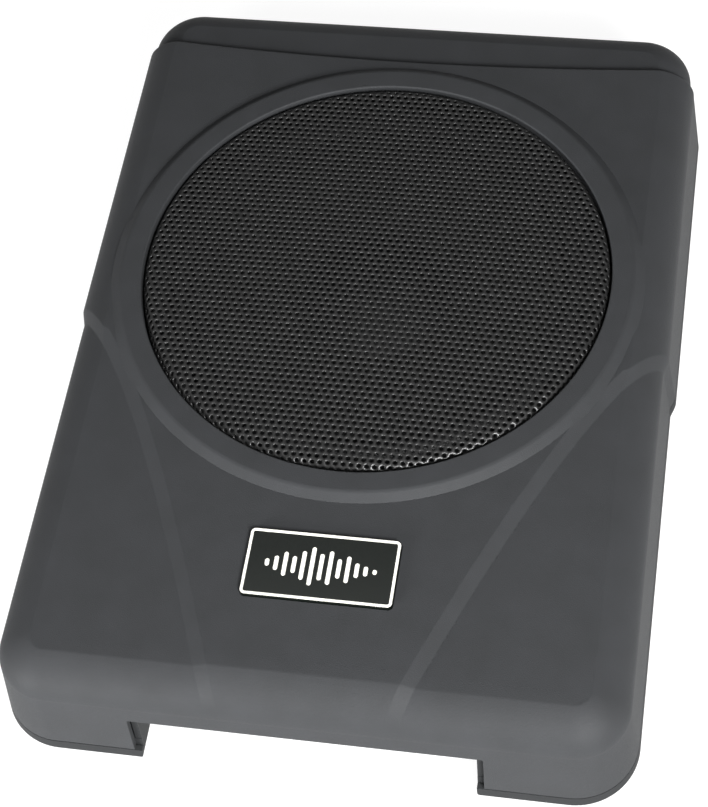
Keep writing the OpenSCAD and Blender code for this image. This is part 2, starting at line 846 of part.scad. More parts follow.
nub_front = panel_y - 2.2;
nub_back = panel_back_y + 3;
module phase_switch() {
    color("#55585b") difference() {
        block(switch_x, switch_z, 11, 5.6, panel_back_y, panel_back_y + 5);
        block(switch_x, switch_z, nub_w + switch_travel + 2 * gap, nub_h + 2 * gap,
            panel_back_y - past, nub_back + gap);
    }
}
module phase_slider() {
    color("#e8e6df") block(switch_x - switch_travel / 2, switch_z, nub_w, nub_h, nub_front, nub_back);
}

module power_led() {
    color("#3c62c8") translate([led_x, 0, switch_z]) {
        lying(led_r, panel_y - 1, panel_t + 3);
        translate([0, panel_y - 1, 0]) sphere(r = led_r, $fn = 32);
    }
}

/* ---- amplifier ---- */

module amplifier_board() {
    tongue_w = bay_w - 2 * panel_flange - 2;
    color("#1d5a35") difference() {
        union() {
            translate([-board_w / 2, board_y0, board_z]) cube([board_w, board_y1 - board_y0, board_t]);
            translate([-tongue_w / 2, panel_back_y + 2 * gap, board_z])
                cube([tongue_w, board_y0 - panel_back_y, board_t]);
        }
        at_pairs(board_screw_places) translate([0, 0, board_z - past])
            cylinder(r = board_screw_r + 0.2, h = board_t + 2 * past, $fn = 24);
    }
}

module board_screws() {
    color("silver") at_pairs(board_screw_places) translate([0, 0, board_top])
        screw(board_screw_r, 4.8, 2.6, 1.8);
}

sink_x0 = -92;
sink_l = 100;
sink_y = board_y1 - 3;
sink_h = 25;
module heat_sink() {
    fin_pitch = 4;
    fin_t = 1.2;
    fin_l = 6;
    sink_t = 3;
    color("#b9bcc0") translate([sink_x0, sink_y, board_top]) {
        cube([sink_l, sink_t, sink_h]);
        for (i = [0 : sink_l / fin_pitch])
            translate([min(i * fin_pitch, sink_l - fin_t), sink_t - hole_gap, 0])
                cube([fin_t, fin_l, sink_h]);
    }
}

module output_transistors() {
    body = [10, 4.5, 15];
    color("#222326") for (i = [0 : 3]) translate([sink_x0 + 8 + 24 * i, sink_y - body[1], board_top]) {
        translate([0, 0, 7]) cube(body);
        for (k = [1, 3.8, 6.6]) translate([k + 0.4, 2, 0]) cube([0.8, 0.6, 7.1]);
    }
}

module supply_capacitors() {
    can_r = 8;
    can_h = 25;
    color("#20263a") for (i = [0 : 3]) translate([-34 + 18.5 * i, board_y0 + 26, board_top])
        cylinder(r = can_r, h = can_h);
}

choke_place = [-72, board_y0 + 24, board_top + 0.3];
choke_r = 11;
choke_h = 9;
module choke_core() {
    color("#4a5a3c") translate(choke_place + [0, 0, 1.2]) tube(choke_r, choke_r - 5, choke_h);
}
// copper sleeve that wraps the core all round
module choke_winding() {
    color("#b4703a") translate(choke_place) difference() {
        tube(choke_r + 1.2, choke_r - 6.2, choke_h + 2.4);
        translate([0, 0, 1.2 - hole_gap])
            tube(choke_r + hole_gap, choke_r - 5 - hole_gap, choke_h + 2 * hole_gap);
    }
}

module filter_coils() {
    color("#3b3b3e") for (x = [56, 78]) translate([x - 8, board_y0 + 20, board_top]) cube([16, 16, 10]);
}

module control_chips() {
    color("#1a1a1b") for (p = [[-60, 38], [0, 6], [48, 10]])
        translate([p[0] - 5, board_y0 + p[1] - 3, board_top]) cube([10, 6, 1.7]);
}

module wire_header() {
    color("#e9e7e0") translate([header_x - 5, header_y - 4, board_top]) cube([10, 7.9, header_h]);
}

top_cover();
bottom_tray();
cover_seal();
rubber_feet();
bracket_inserts();
cover_screws();
grille();
grille_seal();
badge_plate();
basket();
basket_gasket();
basket_screws();
surround();
cone();
dust_cap();
coil_former();
voice_coil();
spider();
top_plate();
magnet();
yoke();
terminal_strip();
terminal_tabs();
tinsel_leads();
speaker_wire_red();
speaker_wire_black();
control_panel();
panel_screws();
power_socket();
power_pins();
fuse_holder();
fuse();
speaker_level_socket();
speaker_level_pins();
rca_shells();
rca_inserts();
rca_collar_left();
rca_collar_right();
remote_port();
gain_pot();
gain_knob();
lowpass_pot();
lowpass_knob();
pot_nuts();
phase_switch();
phase_slider();
power_led();
amplifier_board();
board_screws();
heat_sink();
output_transistors();
supply_capacitors();
choke_core();
choke_winding();
filter_coils();
control_chips();
wire_header();
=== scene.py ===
import json
from math import cos, hypot, pi, radians, sin, sqrt

import bmesh
import bpy
from mathutils import Matrix, Vector


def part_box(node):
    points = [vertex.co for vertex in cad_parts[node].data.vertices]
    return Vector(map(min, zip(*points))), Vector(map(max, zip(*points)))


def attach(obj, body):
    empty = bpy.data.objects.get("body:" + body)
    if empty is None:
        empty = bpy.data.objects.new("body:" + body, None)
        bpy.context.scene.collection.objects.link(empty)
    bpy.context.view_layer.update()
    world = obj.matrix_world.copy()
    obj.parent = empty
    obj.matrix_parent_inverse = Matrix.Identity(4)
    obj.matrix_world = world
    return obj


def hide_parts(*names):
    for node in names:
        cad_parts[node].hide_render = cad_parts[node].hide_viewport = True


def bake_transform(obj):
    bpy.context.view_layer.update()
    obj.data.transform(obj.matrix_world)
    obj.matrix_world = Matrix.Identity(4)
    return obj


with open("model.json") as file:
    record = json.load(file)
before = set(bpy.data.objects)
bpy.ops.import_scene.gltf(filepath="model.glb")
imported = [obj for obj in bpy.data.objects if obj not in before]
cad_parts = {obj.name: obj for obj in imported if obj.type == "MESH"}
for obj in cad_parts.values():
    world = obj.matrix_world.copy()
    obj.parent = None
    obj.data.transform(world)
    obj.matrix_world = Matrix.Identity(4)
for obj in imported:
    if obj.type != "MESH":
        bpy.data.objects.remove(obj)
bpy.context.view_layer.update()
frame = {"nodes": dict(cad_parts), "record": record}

# Pieces are modelled in millimetres in the row frame and scaled to metres when they are finished.
MM = 0.001
BODY_OF = {node: body for body, nodes in frame["record"]["behaviour"]["bodies"].items() for node in nodes}


def extent(node):
    """Lowest and highest corner of a CAD node, in millimetres."""
    low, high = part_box(node)
    return low / MM, high / MM


def middle(node):
    low, high = extent(node)
    return (low + high) / 2


# ---------------------------------------------------------------- sizes of the casing

tray_low, tray_high = extent("bottom_tray")
UNDER_Z = tray_low.z
FLOOR_Z = UNDER_Z + 2.5
REACH_X, REACH_Y = tray_high.x, tray_high.y
FRONT_Y = tray_low.y
SADDLE_SIDE = 1.8
PANEL_REACH_X = REACH_X - SADDLE_SIDE
CORNER_R = 25.0
WALL = 2.5
DRAFT = 3.9
SHOULDER = 15.0
SHOULDER_TURN = 70.0
CREASE_Z = UNDER_Z + 35.3
SIDE_Z = UNDER_Z + 50.0
SADDLE_RISE = 2.5
SADDLE_Z = SIDE_Z + SADDLE_RISE
PART_Z = extent("cover_seal")[0].z
COVER_Z = extent("cover_seal")[1].z
RING_Z = extent("top_cover")[1].z
RIDGE_W = 5.0
SPEAKER_Y = middle("grille").y
OPENING_R = extent("grille")[1].x + 0.7
PANEL_LOW, PANEL_HIGH = extent("control_panel")
BAY_HALF = PANEL_HIGH.x + 0.3
BAY_Z = PANEL_HIGH.z + 0.3
BAY_WALL = 2.5
GAP = 0.3
ARC_STEPS = 24
# how near a plane a point counts as lying on it
CUT_DIST = 1e-5


# ---------------------------------------------------------------- shaping tools

def shaped_by(bm, modifiers):
    """The mesh after a list of (kind, settings) modifiers, as a new bmesh. The old one is freed."""
    mesh = bpy.data.meshes.new("workpiece")
    bm.to_mesh(mesh)
    bm.free()
    work = bpy.data.objects.new("workpiece", mesh)
    bpy.context.scene.collection.objects.link(work)
    for kind, settings in modifiers:
        modifier = work.modifiers.new(kind.lower(), kind)
        for key, value in settings.items():
            setattr(modifier, key, value)
    done = bmesh.new()
    done.from_object(work, bpy.context.evaluated_depsgraph_get())
    bpy.data.objects.remove(work)
    bpy.data.meshes.remove(mesh)
    return done


def combined(bm, tool, how="DIFFERENCE"):
    """The body with the tool cut away, joined on, or kept only where both are."""
    mesh = bpy.data.meshes.new("tool")
    tool.to_mesh(mesh)
    tool.free()
    cutter = bpy.data.objects.new("tool", mesh)
    bpy.context.scene.collection.objects.link(cutter)
    bpy.context.view_layer.update()
    done = shaped_by(bm, [("BOOLEAN", dict(object=cutter, operation=how, solver="EXACT"))])
    bpy.data.objects.remove(cutter)
    bpy.data.meshes.remove(mesh)
    return done


def soft_box(half_x, half_y, corner, low_z, steps, foot_round=0.0):
    """Closed body: a rounded rectangle carried inwards and upwards through (inwards, upwards) steps."""
    bm = bmesh.new()
    bmesh.ops.create_grid(bm, x_segments=1, y_segments=1, size=1)
    bmesh.ops.scale(bm, vec=(half_x, half_y, 1), verts=bm.verts)
    bmesh.ops.translate(bm, vec=(0, 0, low_z), verts=bm.verts)
    bmesh.ops.bevel(bm, geom=bm.verts[:], offset=corner, affect="VERTICES", segments=ARC_STEPS,
                    profile=0.5, material=-1)
    face = bm.faces[:][0]
    for inwards, upwards in steps:
        bmesh.ops.inset_region(bm, faces=[face], thickness=inwards, depth=upwards, use_even_offset=True,
                               use_boundary=True)
    rim = [e for e in bm.edges if e.is_boundary]
    bmesh.ops.contextual_create(bm, geom=rim)
    if foot_round:
        bm.normal_update()
        under = min(bm.faces, key=lambda f: f.normal.z)
        bmesh.ops.bevel(bm, geom=list(under.edges), offset=foot_round, affect="EDGES", segments=3,
                        profile=0.5, material=-1)
    bmesh.ops.recalc_face_normals(bm, faces=bm.faces)
    return bm


def wall_steps(inset):
    """Height of the crease and the rounded shoulder above it, moved inwards by inset. The shoulder stops
    short of level, so that a soft edge shows where it meets the top."""
    crease = CREASE_Z - inset / 2
    turn = radians(SHOULDER_TURN)
    across, tall = SHOULDER / (1 - cos(turn)), (SIDE_Z - inset - crease) / sin(turn)
    arc = [turn * i / ARC_STEPS for i in range(ARC_STEPS + 1)]
    return crease, [(across * (cos(a) - cos(b)), tall * (sin(b) - sin(a))) for a, b in zip(arc, arc[1:])]


def casing_form(inset=0.0, low_z=UNDER_Z, foot_round=0.0):
    """The casing's outer form without the saddle, with every face moved inwards by inset."""
    crease, shoulder = wall_steps(inset)
    return soft_box(PANEL_REACH_X - inset, REACH_Y - inset, CORNER_R - inset, low_z,
                    [(DRAFT, crease - low_z)] + shoulder, foot_round)


def block(x0, x1, y0, y1, z0, z1, round_edges=None, radius=0.0, steps=6):
    """A block between two corners. round_edges picks the edges to round, by the axis they run along."""
    bm = bmesh.new()
    bmesh.ops.create_cube(bm, size=1)
    bmesh.ops.scale(bm, vec=(x1 - x0, y1 - y0, z1 - z0), verts=bm.verts)
    bmesh.ops.translate(bm, vec=((x0 + x1) / 2, (y0 + y1) / 2, (z0 + z1) / 2), verts=bm.verts)
    if round_edges:
        axis = "xyz".index(round_edges)
        chosen = [e for e in bm.edges if abs((e.verts[0].co - e.verts[1].co).normalized()[axis]) > 0.9]
        bmesh.ops.bevel(bm, geom=chosen, offset=radius, affect="EDGES", segments=steps, profile=0.5,
                        material=-1)
    return bm


def rods(places, radius, z0, z1, sides=32):
    """Upright rods of one radius at a list of (x, y) places, in one mesh."""
    bm = bmesh.new()
    for x, y in places:
        bmesh.ops.create_cone(bm, cap_ends=True, segments=sides, radius1=radius, radius2=radius,
                              depth=z1 - z0, matrix=Matrix.Translation((x, y, (z0 + z1) / 2)))
    return bm


def spun(outline, centre, steps=192, closed=True, soft=()):
    """A full turn of an outline of (radius, height) points round the upright axis through centre.
    soft lists (point number, radius) for corners that get a rounding first."""
    bm = bmesh.new()
    points = [bm.verts.new((centre[0] + r, centre[1], centre[2] + z)) for r, z in outline]
    for a, b in zip(points, points[1:]):
        bm.edges.new((a, b))
    if closed:
        bm.edges.new((points[-1], points[0]))
        face = bm.faces.new(points)
        for number, radius in soft:
            bmesh.ops.bevel(bm, geom=[points[number]], offset=radius, affect="VERTICES", segments=4,
                            profile=0.5, material=-1)
        bmesh.ops.delete(bm, geom=bm.faces[:], context="FACES_ONLY")
    bmesh.ops.spin(bm, geom=[*bm.verts, *bm.edges], cent=centre, axis=(0, 0, 1), angle=2 * pi, steps=steps,
                   use_merge=True)
    bmesh.ops.remove_doubles(bm, verts=bm.verts, dist=0.001)
    bmesh.ops.recalc_face_normals(bm, faces=bm.faces)
    return bm


def joined_on(bm, extra):
    """Adds a mesh to another as loose extra bodies. The added one is freed."""
    mesh = bpy.data.meshes.new("extra")
    extra.to_mesh(mesh)
    extra.free()
    bm.from_mesh(mesh)
    bpy.data.meshes.remove(mesh)


def cut_faces(bm, faces, point, normal):
    """Cuts these faces along a plane."""
    edges = {e for f in faces for e in f.edges}
    verts = {v for f in faces for v in f.verts}
    bmesh.ops.bisect_plane(bm, geom=[*faces, *edges, *verts], dist=CUT_DIST, plane_co=point,
                           plane_no=normal)


def halved(bm, point, normal):
    """Keeps what lies on the normal's side of a plane and closes the cut."""
    bmesh.ops.bisect_plane(bm, geom=[*bm.verts, *bm.edges, *bm.faces], dist=CUT_DIST, plane_co=point,
                           plane_no=normal, clear_inner=True)
    bmesh.ops.holes_fill(bm, edges=[e for e in bm.edges if e.is_boundary], sides=0)
    bmesh.ops.recalc_face_normals(bm, faces=bm.faces)
    return bm


def piece(bm, name, material, body="enclosure", stands_for=(), sharp_above=30.0, crease_z=None):
    """Finishes a piece: smooth faces, hard edges, metres, its material, its body and what it stands for."""
    for face in bm.faces:
        face.smooth = True
    for edge in bm.edges if sharp_above else ():
        if len(edge.link_faces) == 2 and edge.calc_face_angle(0.0) > radians(sharp_above):
            edge.smooth = False
        elif crease_z and all(abs(v.co.z - crease_z) < 0.02 for v in edge.verts):
            edge.smooth = False
    bmesh.ops.scale(bm, vec=(MM, MM, MM), verts=bm.verts)
    mesh = bpy.data.meshes.new(name)
    bm.to_mesh(mesh)
    bm.free()
    mesh.materials.append(material)
    made = bpy.data.objects.new(name, mesh)
    bpy.context.scene.collection.objects.link(made)
    if sharp_above:
        normals = made.modifiers.new("even shading", "WEIGHTED_NORMAL")
        normals.keep_sharp = True
    if body:
        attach(made, body)
    if stands_for:
        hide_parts(*stands_for)
    return made


# ---------------------------------------------------------------- materials

def linear(code):
    """A colour written as sRGB hex, in the linear values that a shader takes."""
    parts = [int(code[i:i + 2], 16) / 255 for i in (1, 3, 5)]
    return tuple(p / 12.92 if p <= 0.04045 else ((p + 0.055) / 1.055) ** 2.4 for p in parts) + (1.0,)


def add(tree, kind, inputs, **settings):
    """Adds a node with its settings. An input is a value, or the output that feeds it."""
    node = tree.nodes.new(kind)
    for key, value in settings.items():
        setattr(node, key, value)
    for key, value in inputs.items():
        if isinstance(value, bpy.types.NodeSocket):
            tree.links.new(value, node.inputs[key])
        else:
            node.inputs[key].default_value = value
    return node


def per(size):
    """Texture scale for a pattern whose parts are size millimetres across."""
    return 1 / (size * MM)


def finish(name, colour, other, roughness, spread, grain, height, patch=9.0, metallic=0.0, detail=2.0,
           stretch=(1.0, 1.0, 1.0), pattern=None, **sockets):
    """A surface whose colour drifts between two hexes over patches, with a grain for gloss and relief.
    grain, height and patch are in millimetres. pattern(tree, coordinates) may give its own relief."""
    material = bpy.data.materials.new(name)
    material.use_nodes = True
    tree = material.node_tree
    shader = tree.nodes["Principled BSDF"]
    place = add(tree, "ShaderNodeTexCoord", {}).outputs["Object"]
    lie = add(tree, "ShaderNodeMapping", {"Vector": place, "Scale": stretch}).outputs["Vector"]
    drift = add(tree, "ShaderNodeTexNoise", {"Vector": lie, "Scale": per(patch), "Detail": 3.0})
    if pattern:
        relief = pattern(tree, place)
    else:
        grains = add(tree, "ShaderNodeTexNoise", {"Vector": lie, "Scale": per(grain), "Detail": detail})
        relief = grains.outputs[0]
    mix = add(tree, "ShaderNodeMix", {0: drift.outputs[0], 6: linear(colour), 7: linear(other)},
              data_type="RGBA")
    gloss = add(tree, "ShaderNodeMapRange", {"Value": relief, "From Min": 0.25, "From Max": 0.75,
                                             "To Min": roughness + spread, "To Max": roughness - spread})
    bump = add(tree, "ShaderNodeBump", {"Height": relief, "Distance": height * MM, "Strength": 1.0})
    tree.links.new(mix.outputs[2], shader.inputs["Base Color"])
    tree.links.new(gloss.outputs[0], shader.inputs["Roughness"])
    tree.links.new(bump.outputs[0], shader.inputs["Normal"])
    shader.inputs["Metallic"].default_value = metallic
    for socket, value in sockets.items():
        shader.inputs[socket.replace("_", " ")].default_value = value
    return material


def raised(tree, wave):
    """A wave between -1 and 1, carried to between 0 and 1."""
    return add(tree, "ShaderNodeMath", {0: wave.outputs[0], 1: 0.5, 2: 0.5},
               operation="MULTIPLY_ADD").outputs[0]


def wound_wire(tree, place):
    """Turns of enamelled wire 0.3 mm apart, one above the other."""
    height = add(tree, "ShaderNodeSeparateXYZ", {"Vector": place}).outputs["Z"]
    turns = add(tree, "ShaderNodeMath", {0: height, 1: 2 * pi * per(0.3)}, operation="MULTIPLY")
    wave = add(tree, "ShaderNodeMath", {0: turns.outputs[0]}, operation="SINE")
    return raised(tree, wave)


def plain_weave(tree, place):
    """Threads 0.5 mm apart over and under each other."""
    parts = add(tree, "ShaderNodeSeparateXYZ", {"Vector": place})
    waves = []
    for side in ("X", "Y"):
        turns = add(tree, "ShaderNodeMath", {0: parts.outputs[side], 1: pi * per(0.5)}, operation="MULTIPLY")
        waves.append(add(tree, "ShaderNodeMath", {0: turns.outputs[0]}, operation="SINE").outputs[0])
    both = add(tree, "ShaderNodeMath", {0: waves[0], 1: waves[1]}, operation="MULTIPLY")
    return raised(tree, both)


FINISH = {
    # Moulded ABS from a spark-eroded mould: dark neutral grey, matt, with a fine sparkle in the grain.
    "cover_plastic": finish("Spark-textured moulded ABS", "#343537", "#2E2F30", 0.56, 0.10, 0.38, 0.11,
                            patch=14, Specular_IOR_Level=0.1),
    # The same ABS in a plainer mould: a shade darker and a little smoother.
    "tray_plastic": finish("Moulded ABS, fine matt", "#2C2D2E", "#262728", 0.55, 0.05, 0.7, 0.04,
                           Specular_IOR_Level=0.06),
    # Closed-cell EVA foam: soft black with open cut cells.
    "foam": finish("Cut EVA foam", "#161616", "#1E1E1E", 0.9, 0.05, 0.5, 0.12),
    # Moulded nitrile rubber: near black, dull, slightly dusty.
    "foot_rubber": finish("Moulded nitrile rubber", "#1B1B1C", "#262627", 0.78, 0.08, 0.6, 0.03),
    # Turned brass: yellow metal with fine turning marks.
    "brass": finish("Turned brass", "#B8924A", "#A88240", 0.32, 0.08, 0.25, 0.008, metallic=1.0,
                    stretch=(1, 1, 6)),
    # Black-oxide steel: a thin dark oxide over satin metal.
    "black_screw": finish("Black-oxide steel", "#26262A", "#1B1B1E", 0.38, 0.1, 0.4, 0.008, metallic=0.9),
    # Epoxy powder coat on pressed steel: semi-gloss black with a faint orange peel.
    "grille_steel": finish("Powder-coated steel sheet", "#1A1A1A", "#222222", 0.34, 0.06, 1.1, 0.015),
    # Lacquered aluminium badge: deep gloss black with a hint of green.
    "badge_black": finish("Gloss lacquer", "#0A0E0C", "#0E120E", 0.2, 0.03, 1.4, 0.004, Coat_Weight=0.3,
                          Coat_Roughness=0.12),
    # Electro-coated pressed steel: even satin black.
    "basket_steel": finish("Electro-coated steel", "#1E1F21", "#28292B", 0.42, 0.06, 0.8, 0.01),
    # Butyl rubber: smooth charcoal with a soft sheen.
    "surround_rubber": finish("Butyl rubber", "#1C1C1E", "#252527", 0.5, 0.07, 0.7, 0.015),
    # Pressed paper pulp dyed black: matt, with short fibres felted into it.
    "cone_paper": finish("Pressed paper pulp", "#1D1D1E", "#2B2A28", 0.82, 0.08, 0.35, 0.05, patch=1.6,
                         detail=6),
    # Moulded polypropylene: smooth black with a low gloss.
    "cap_plastic": finish("Moulded polypropylene", "#151517", "#1C1C1E", 0.36, 0.05, 0.9, 0.008),
    # Kraft paper former: warm brown with visible fibre.
    "former_paper": finish("Kraft paper", "#B28A54", "#9A7442", 0.74, 0.08, 0.3, 0.02, patch=2.5),
    # Enamelled copper wire wound in turns: ribs of reddish metal.
    "copper": finish("Wound enamelled copper", "#B5683A", "#9C5229", 0.3, 0.1, 0.3, 0.08, metallic=1.0,
                     pattern=wound_wire),
    # Phenolic-dipped cotton cloth: straw yellow, with its weave showing.
    "spider_cloth": finish("Phenolic cotton cloth", "#B39A5C", "#9C834A", 0.7, 0.08, 0.5, 0.12,
                           pattern=plain_weave),
    # Zinc-plated steel: pale grey metal with a cloudy bloom.
    "plated_steel": finish("Zinc-plated steel", "#A9ADB1", "#8F9499", 0.34, 0.1, 1.2, 0.008, metallic=1.0,
                           patch=3),
    # Sintered ferrite: dark grey ceramic with a ground face.
    "ferrite": finish("Sintered ferrite", "#3A3A3D", "#2C2C2F", 0.6, 0.08, 0.4, 0.03, patch=2),
    # Phenolic paper laminate: reddish brown board with cut fibres.
    "strip_board": finish("Phenolic laminate", "#5A3A22", "#6C482C", 0.55, 0.08, 0.5, 0.02,
                          stretch=(4, 1, 1)),
    # Braided copper tinsel: fine plaited strands.
    "tinsel": finish("Braided tinsel", "#B98850", "#8C6334", 0.4, 0.12, 0.35, 0.1, metallic=1.0),
    # PVC insulation: smooth, slightly waxy.
    "wire_red": finish("Red PVC insulation", "#A5261F", "#8F1F1A", 0.42, 0.06, 0.8, 0.01),
    "wire_black": finish("Black PVC insulation", "#1A1A1A", "#232323", 0.42, 0.06, 0.8, 0.01),
    # Textured powder coat on the steel panel: flat black with a sandy feel.
    "panel_steel": finish("Sand-textured powder coat", "#1E1F20", "#262728", 0.6, 0.07, 0.45, 0.05),
    # Glass-filled nylon: natural white and black, matt with flow marks.
    "socket_white": finish("Natural nylon", "#DCDAD0", "#CFCCC0", 0.5, 0.06, 0.8, 0.015,
                           Subsurface_Weight=0.08, Subsurface_Scale=0.002),
    "socket_black": finish("Black glass-filled nylon", "#1D1E1F", "#262728", 0.48, 0.06, 0.6, 0.02),
    # Gold-flashed brass contacts: bright yellow metal.
    "contact_gold": finish("Gold flash", "#D8B25A", "#C49C45", 0.22, 0.06, 0.4, 0.004, metallic=1.0),
    # Tinted polycarbonate fuse body: clear amber orange.
    "fuse_orange": finish("Tinted polycarbonate", "#D2621A", "#BE5212", 0.2, 0.04, 0.9, 0.006,
                          Transmission_Weight=0.25, IOR=1.58),
    # Bright nickel plating over turned brass.
    "nickel": finish("Bright nickel plate", "#C9C6BF", "#B4B1AA", 0.18, 0.06, 0.3, 0.005, metallic=1.0,
                     stretch=(1, 6, 1)),
    # Dyed acetal collars and print.
    "collar_white": finish("White acetal", "#E9E7DF", "#DAD8CF", 0.4, 0.05, 0.8, 0.01),
    "collar_red": finish("Red acetal", "#B01F1C", "#991815", 0.38, 0.05, 0.8, 0.01),
    # Tin-plated control body: dull grey metal.
    "pot_steel": finish("Tin-plated steel", "#7E8184", "#6B6E71", 0.4, 0.1, 0.9, 0.008, metallic=1.0),
    # Soft-touch moulded knob.
    "knob_black": finish("Soft-touch ABS", "#161617", "#1F1F20", 0.6, 0.06, 0.4, 0.02),
    "slider_white": finish("Moulded acetal", "#E4E2DA", "#D5D2C8", 0.42, 0.05, 0.6, 0.012),
    # Blue diffused epoxy lens.
    "led_blue": finish("Diffused blue epoxy", "#3E66D6", "#2F55C2", 0.18, 0.04, 0.7, 0.004,
                       Transmission_Weight=0.35),
    # Solder mask over glass-fibre board: glossy green over faint weave.
    "board_green": finish("Green solder mask", "#1B5A35", "#164A2B", 0.3, 0.06, 0.5, 0.02,
                          pattern=plain_weave),
    # Extruded aluminium with a natural anodise: pale grey with die lines.
    "sink_aluminium": finish("Anodised extruded aluminium", "#B3B6BA", "#A2A5A9", 0.36, 0.08, 0.3, 0.012,
                             metallic=1.0, stretch=(8, 8, 1)),
    # Moulded epoxy package: flat black with a sandy face.
    "package_black": finish("Moulded epoxy", "#1B1B1C", "#242425", 0.62, 0.06, 0.35, 0.02),
    # Shrunk PVC sleeve: deep blue with a soft gloss.
    "capacitor_sleeve": finish("Shrunk PVC sleeve", "#1F2740", "#263050", 0.3, 0.05, 1.0, 0.01),
    # Epoxy-painted powder core: thick dull green.
    "core_green": finish("Epoxy-painted core", "#4C5E3C", "#41522F", 0.46, 0.07, 0.9, 0.03),
}


# ---------------------------------------------------------------- the casing's outer skin with its saddle

RIDGE_POINTS = 60


def ridge_lines():
    """Top line and foot line of the right ridge, as points that run towards +Y past both ends of the body."""
    control = [Vector(p) for p in ((29, FRONT_Y), (56, FRONT_Y + 73), (95, -3.5), (REACH_X + 1, 8))]
    top = []
    for i in range(RIDGE_POINTS + 1):
        t = i / RIDGE_POINTS
        u = 1 - t
        shares = (u ** 3, 3 * u * u * t, 3 * u * t * t, t ** 3)
        top.append(sum((k * point for k, point in zip(shares, control)), Vector((0, 0))))
    top = [top[0] + (top[0] - top[1]) * 20] + top + [top[-1] + (top[-1] - top[-2]) * 30]
    foot = []
    for i, point in enumerate(top):
        way = (top[min(i + 1, len(top) - 1)] - top[max(i - 1, 0)]).normalized()
        foot.append(point + RIDGE_W * Vector((way.y, -way.x)))
    return top, foot


RIDGE_TOP, RIDGE_FOOT = ridge_lines()
REAR_STEP_W = 2.0
REAR_EDGE_Y = REACH_Y - 34.5
REAR_CUTS_Y = 20.0


def reach_at(line, y):
    """How far out a ridge line lies at y."""
    for a, b in zip(line, line[1:]):
        if y <= b.y or b is line[-1]:
            return a.x + (b.x - a.x) * (y - a.y) / (b.y - a.y)


def bend_reach(t, y):
    """How far out the ridge's slope lies at y, a share t of the way from its top to its foot."""
    top = reach_at(RIDGE_TOP, y)
    return top + t * (reach_at(RIDGE_FOOT, y) - top)


def rear_edge(x):
    return REAR_EDGE_Y + 5.8 * (x / REACH_X) ** 2


def eased(t, rounding):
    """Falls from 1 to 0 as t goes from 0 to 1, with both bends rounded."""
    if t < -rounding:
        return 1.0
    if t < rounding:
        return 1 - (t + rounding) ** 2 / (4 * rounding)
    if t < 1 - rounding:
        return 1 - t
    if t < 1 + rounding:
        return (1 + rounding - t) ** 2 / (4 * rounding)
    return 0.0


RIDGE_ROUND = 0.08
REAR_ROUND = 0.3


def bend_lines(rounding):
    near = [-1, -1 / 3, 1 / 3, 1]
    return [rounding * k for k in near] + [1 + rounding * k for k in near]


def saddle_share(x, y):
    """1 on the raised saddle, 0 beside and behind it."""
    x = abs(x)
    top, foot = reach_at(RIDGE_TOP, y), reach_at(RIDGE_FOOT, y)
    return eased((x - top) / (foot - top), RIDGE_ROUND) * eased((y - rear_edge(x)) / REAR_STEP_W, REAR_ROUND)


def casing_skin():
    """The whole outer form: the right half is cut along the saddle's edges, raised, and mirrored."""
    bm = casing_form(foot_round=1.2)
    bmesh.ops.bisect_plane(bm, geom=[*bm.verts, *bm.edges, *bm.faces], dist=CUT_DIST, plane_co=(0, 0, 0),
                           plane_no=(1, 0, 0), clear_inner=True)
    rows = [FRONT_Y + 160.5 * i / 20 for i in range(21)] + [-12 + 2 * i for i in range(1, 16)]
    for y in rows:
        cut_faces(bm, bm.faces[:], (0, y, 0), (0, 1, 0))
    for y0, y1 in zip([FRONT_Y - 1] + rows, rows):
        for t in bend_lines(RIDGE_ROUND):
            a, b = [bend_reach(t, y) for y in (y0, y1)]
            if min(a, b) < REACH_X + 1:
                faces = [f for f in bm.faces if y0 < f.calc_center_bounds().y < y1]
                cut_faces(bm, faces, (a, y0, 0), (y1 - y0, a - b, 0))
    columns = [REACH_X * i / 14 for i in range(15)]
    for x in columns[1:]:
        faces = [f for f in bm.faces if f.calc_center_bounds().y > REAR_CUTS_Y]
        cut_faces(bm, faces, (x, 0, 0), (1, 0, 0))
    for x0, x1 in zip(columns, columns[1:]):
        for t in bend_lines(REAR_ROUND):
            a, b = [rear_edge(x) + t * REAR_STEP_W for x in (x0, x1)]
            faces = [f for f in bm.faces
                     if x0 < f.calc_center_bounds().x < x1 and f.calc_center_bounds().y > REAR_CUTS_Y]
            cut_faces(bm, faces, (x0, a, 0), (a - b, x1 - x0, 0))
    flat_x = PANEL_REACH_X - DRAFT - SHOULDER
    for vert in bm.verts:
        share = saddle_share(vert.co.x, vert.co.y)
        climb = min(max((vert.co.z - CREASE_Z) / (SIDE_Z - CREASE_Z), 0), 1)
        vert.co.z += SADDLE_RISE * share * climb
        if vert.co.x > flat_x - 0.01:
            vert.co.x += SADDLE_SIDE * share
    bmesh.ops.mirror(bm, geom=[*bm.verts, *bm.edges, *bm.faces], merge_dist=0.001, axis="X")
    bmesh.ops.remove_doubles(bm, verts=bm.verts, dist=0.0005)
    bmesh.ops.recalc_face_normals(bm, faces=bm.faces)
    return bm


def mirrored_places(places):
    return [(s * x, y) for x, y in places for s in (1, -1)]


COVER_SCREWS = mirrored_places([(BAY_HALF + BAY_WALL + 11.7, FRONT_Y + 20.5), (PANEL_REACH_X - 12, -40),
                                (PANEL_REACH_X - 12, 80), (PANEL_REACH_X / 2, REACH_Y - 14)])
POST_Z = FLOOR_Z + 4
# how far a cutting tool runs past the faces that it cuts
PAST = 5.0

skin = casing_skin()
low_skin = skin.copy()

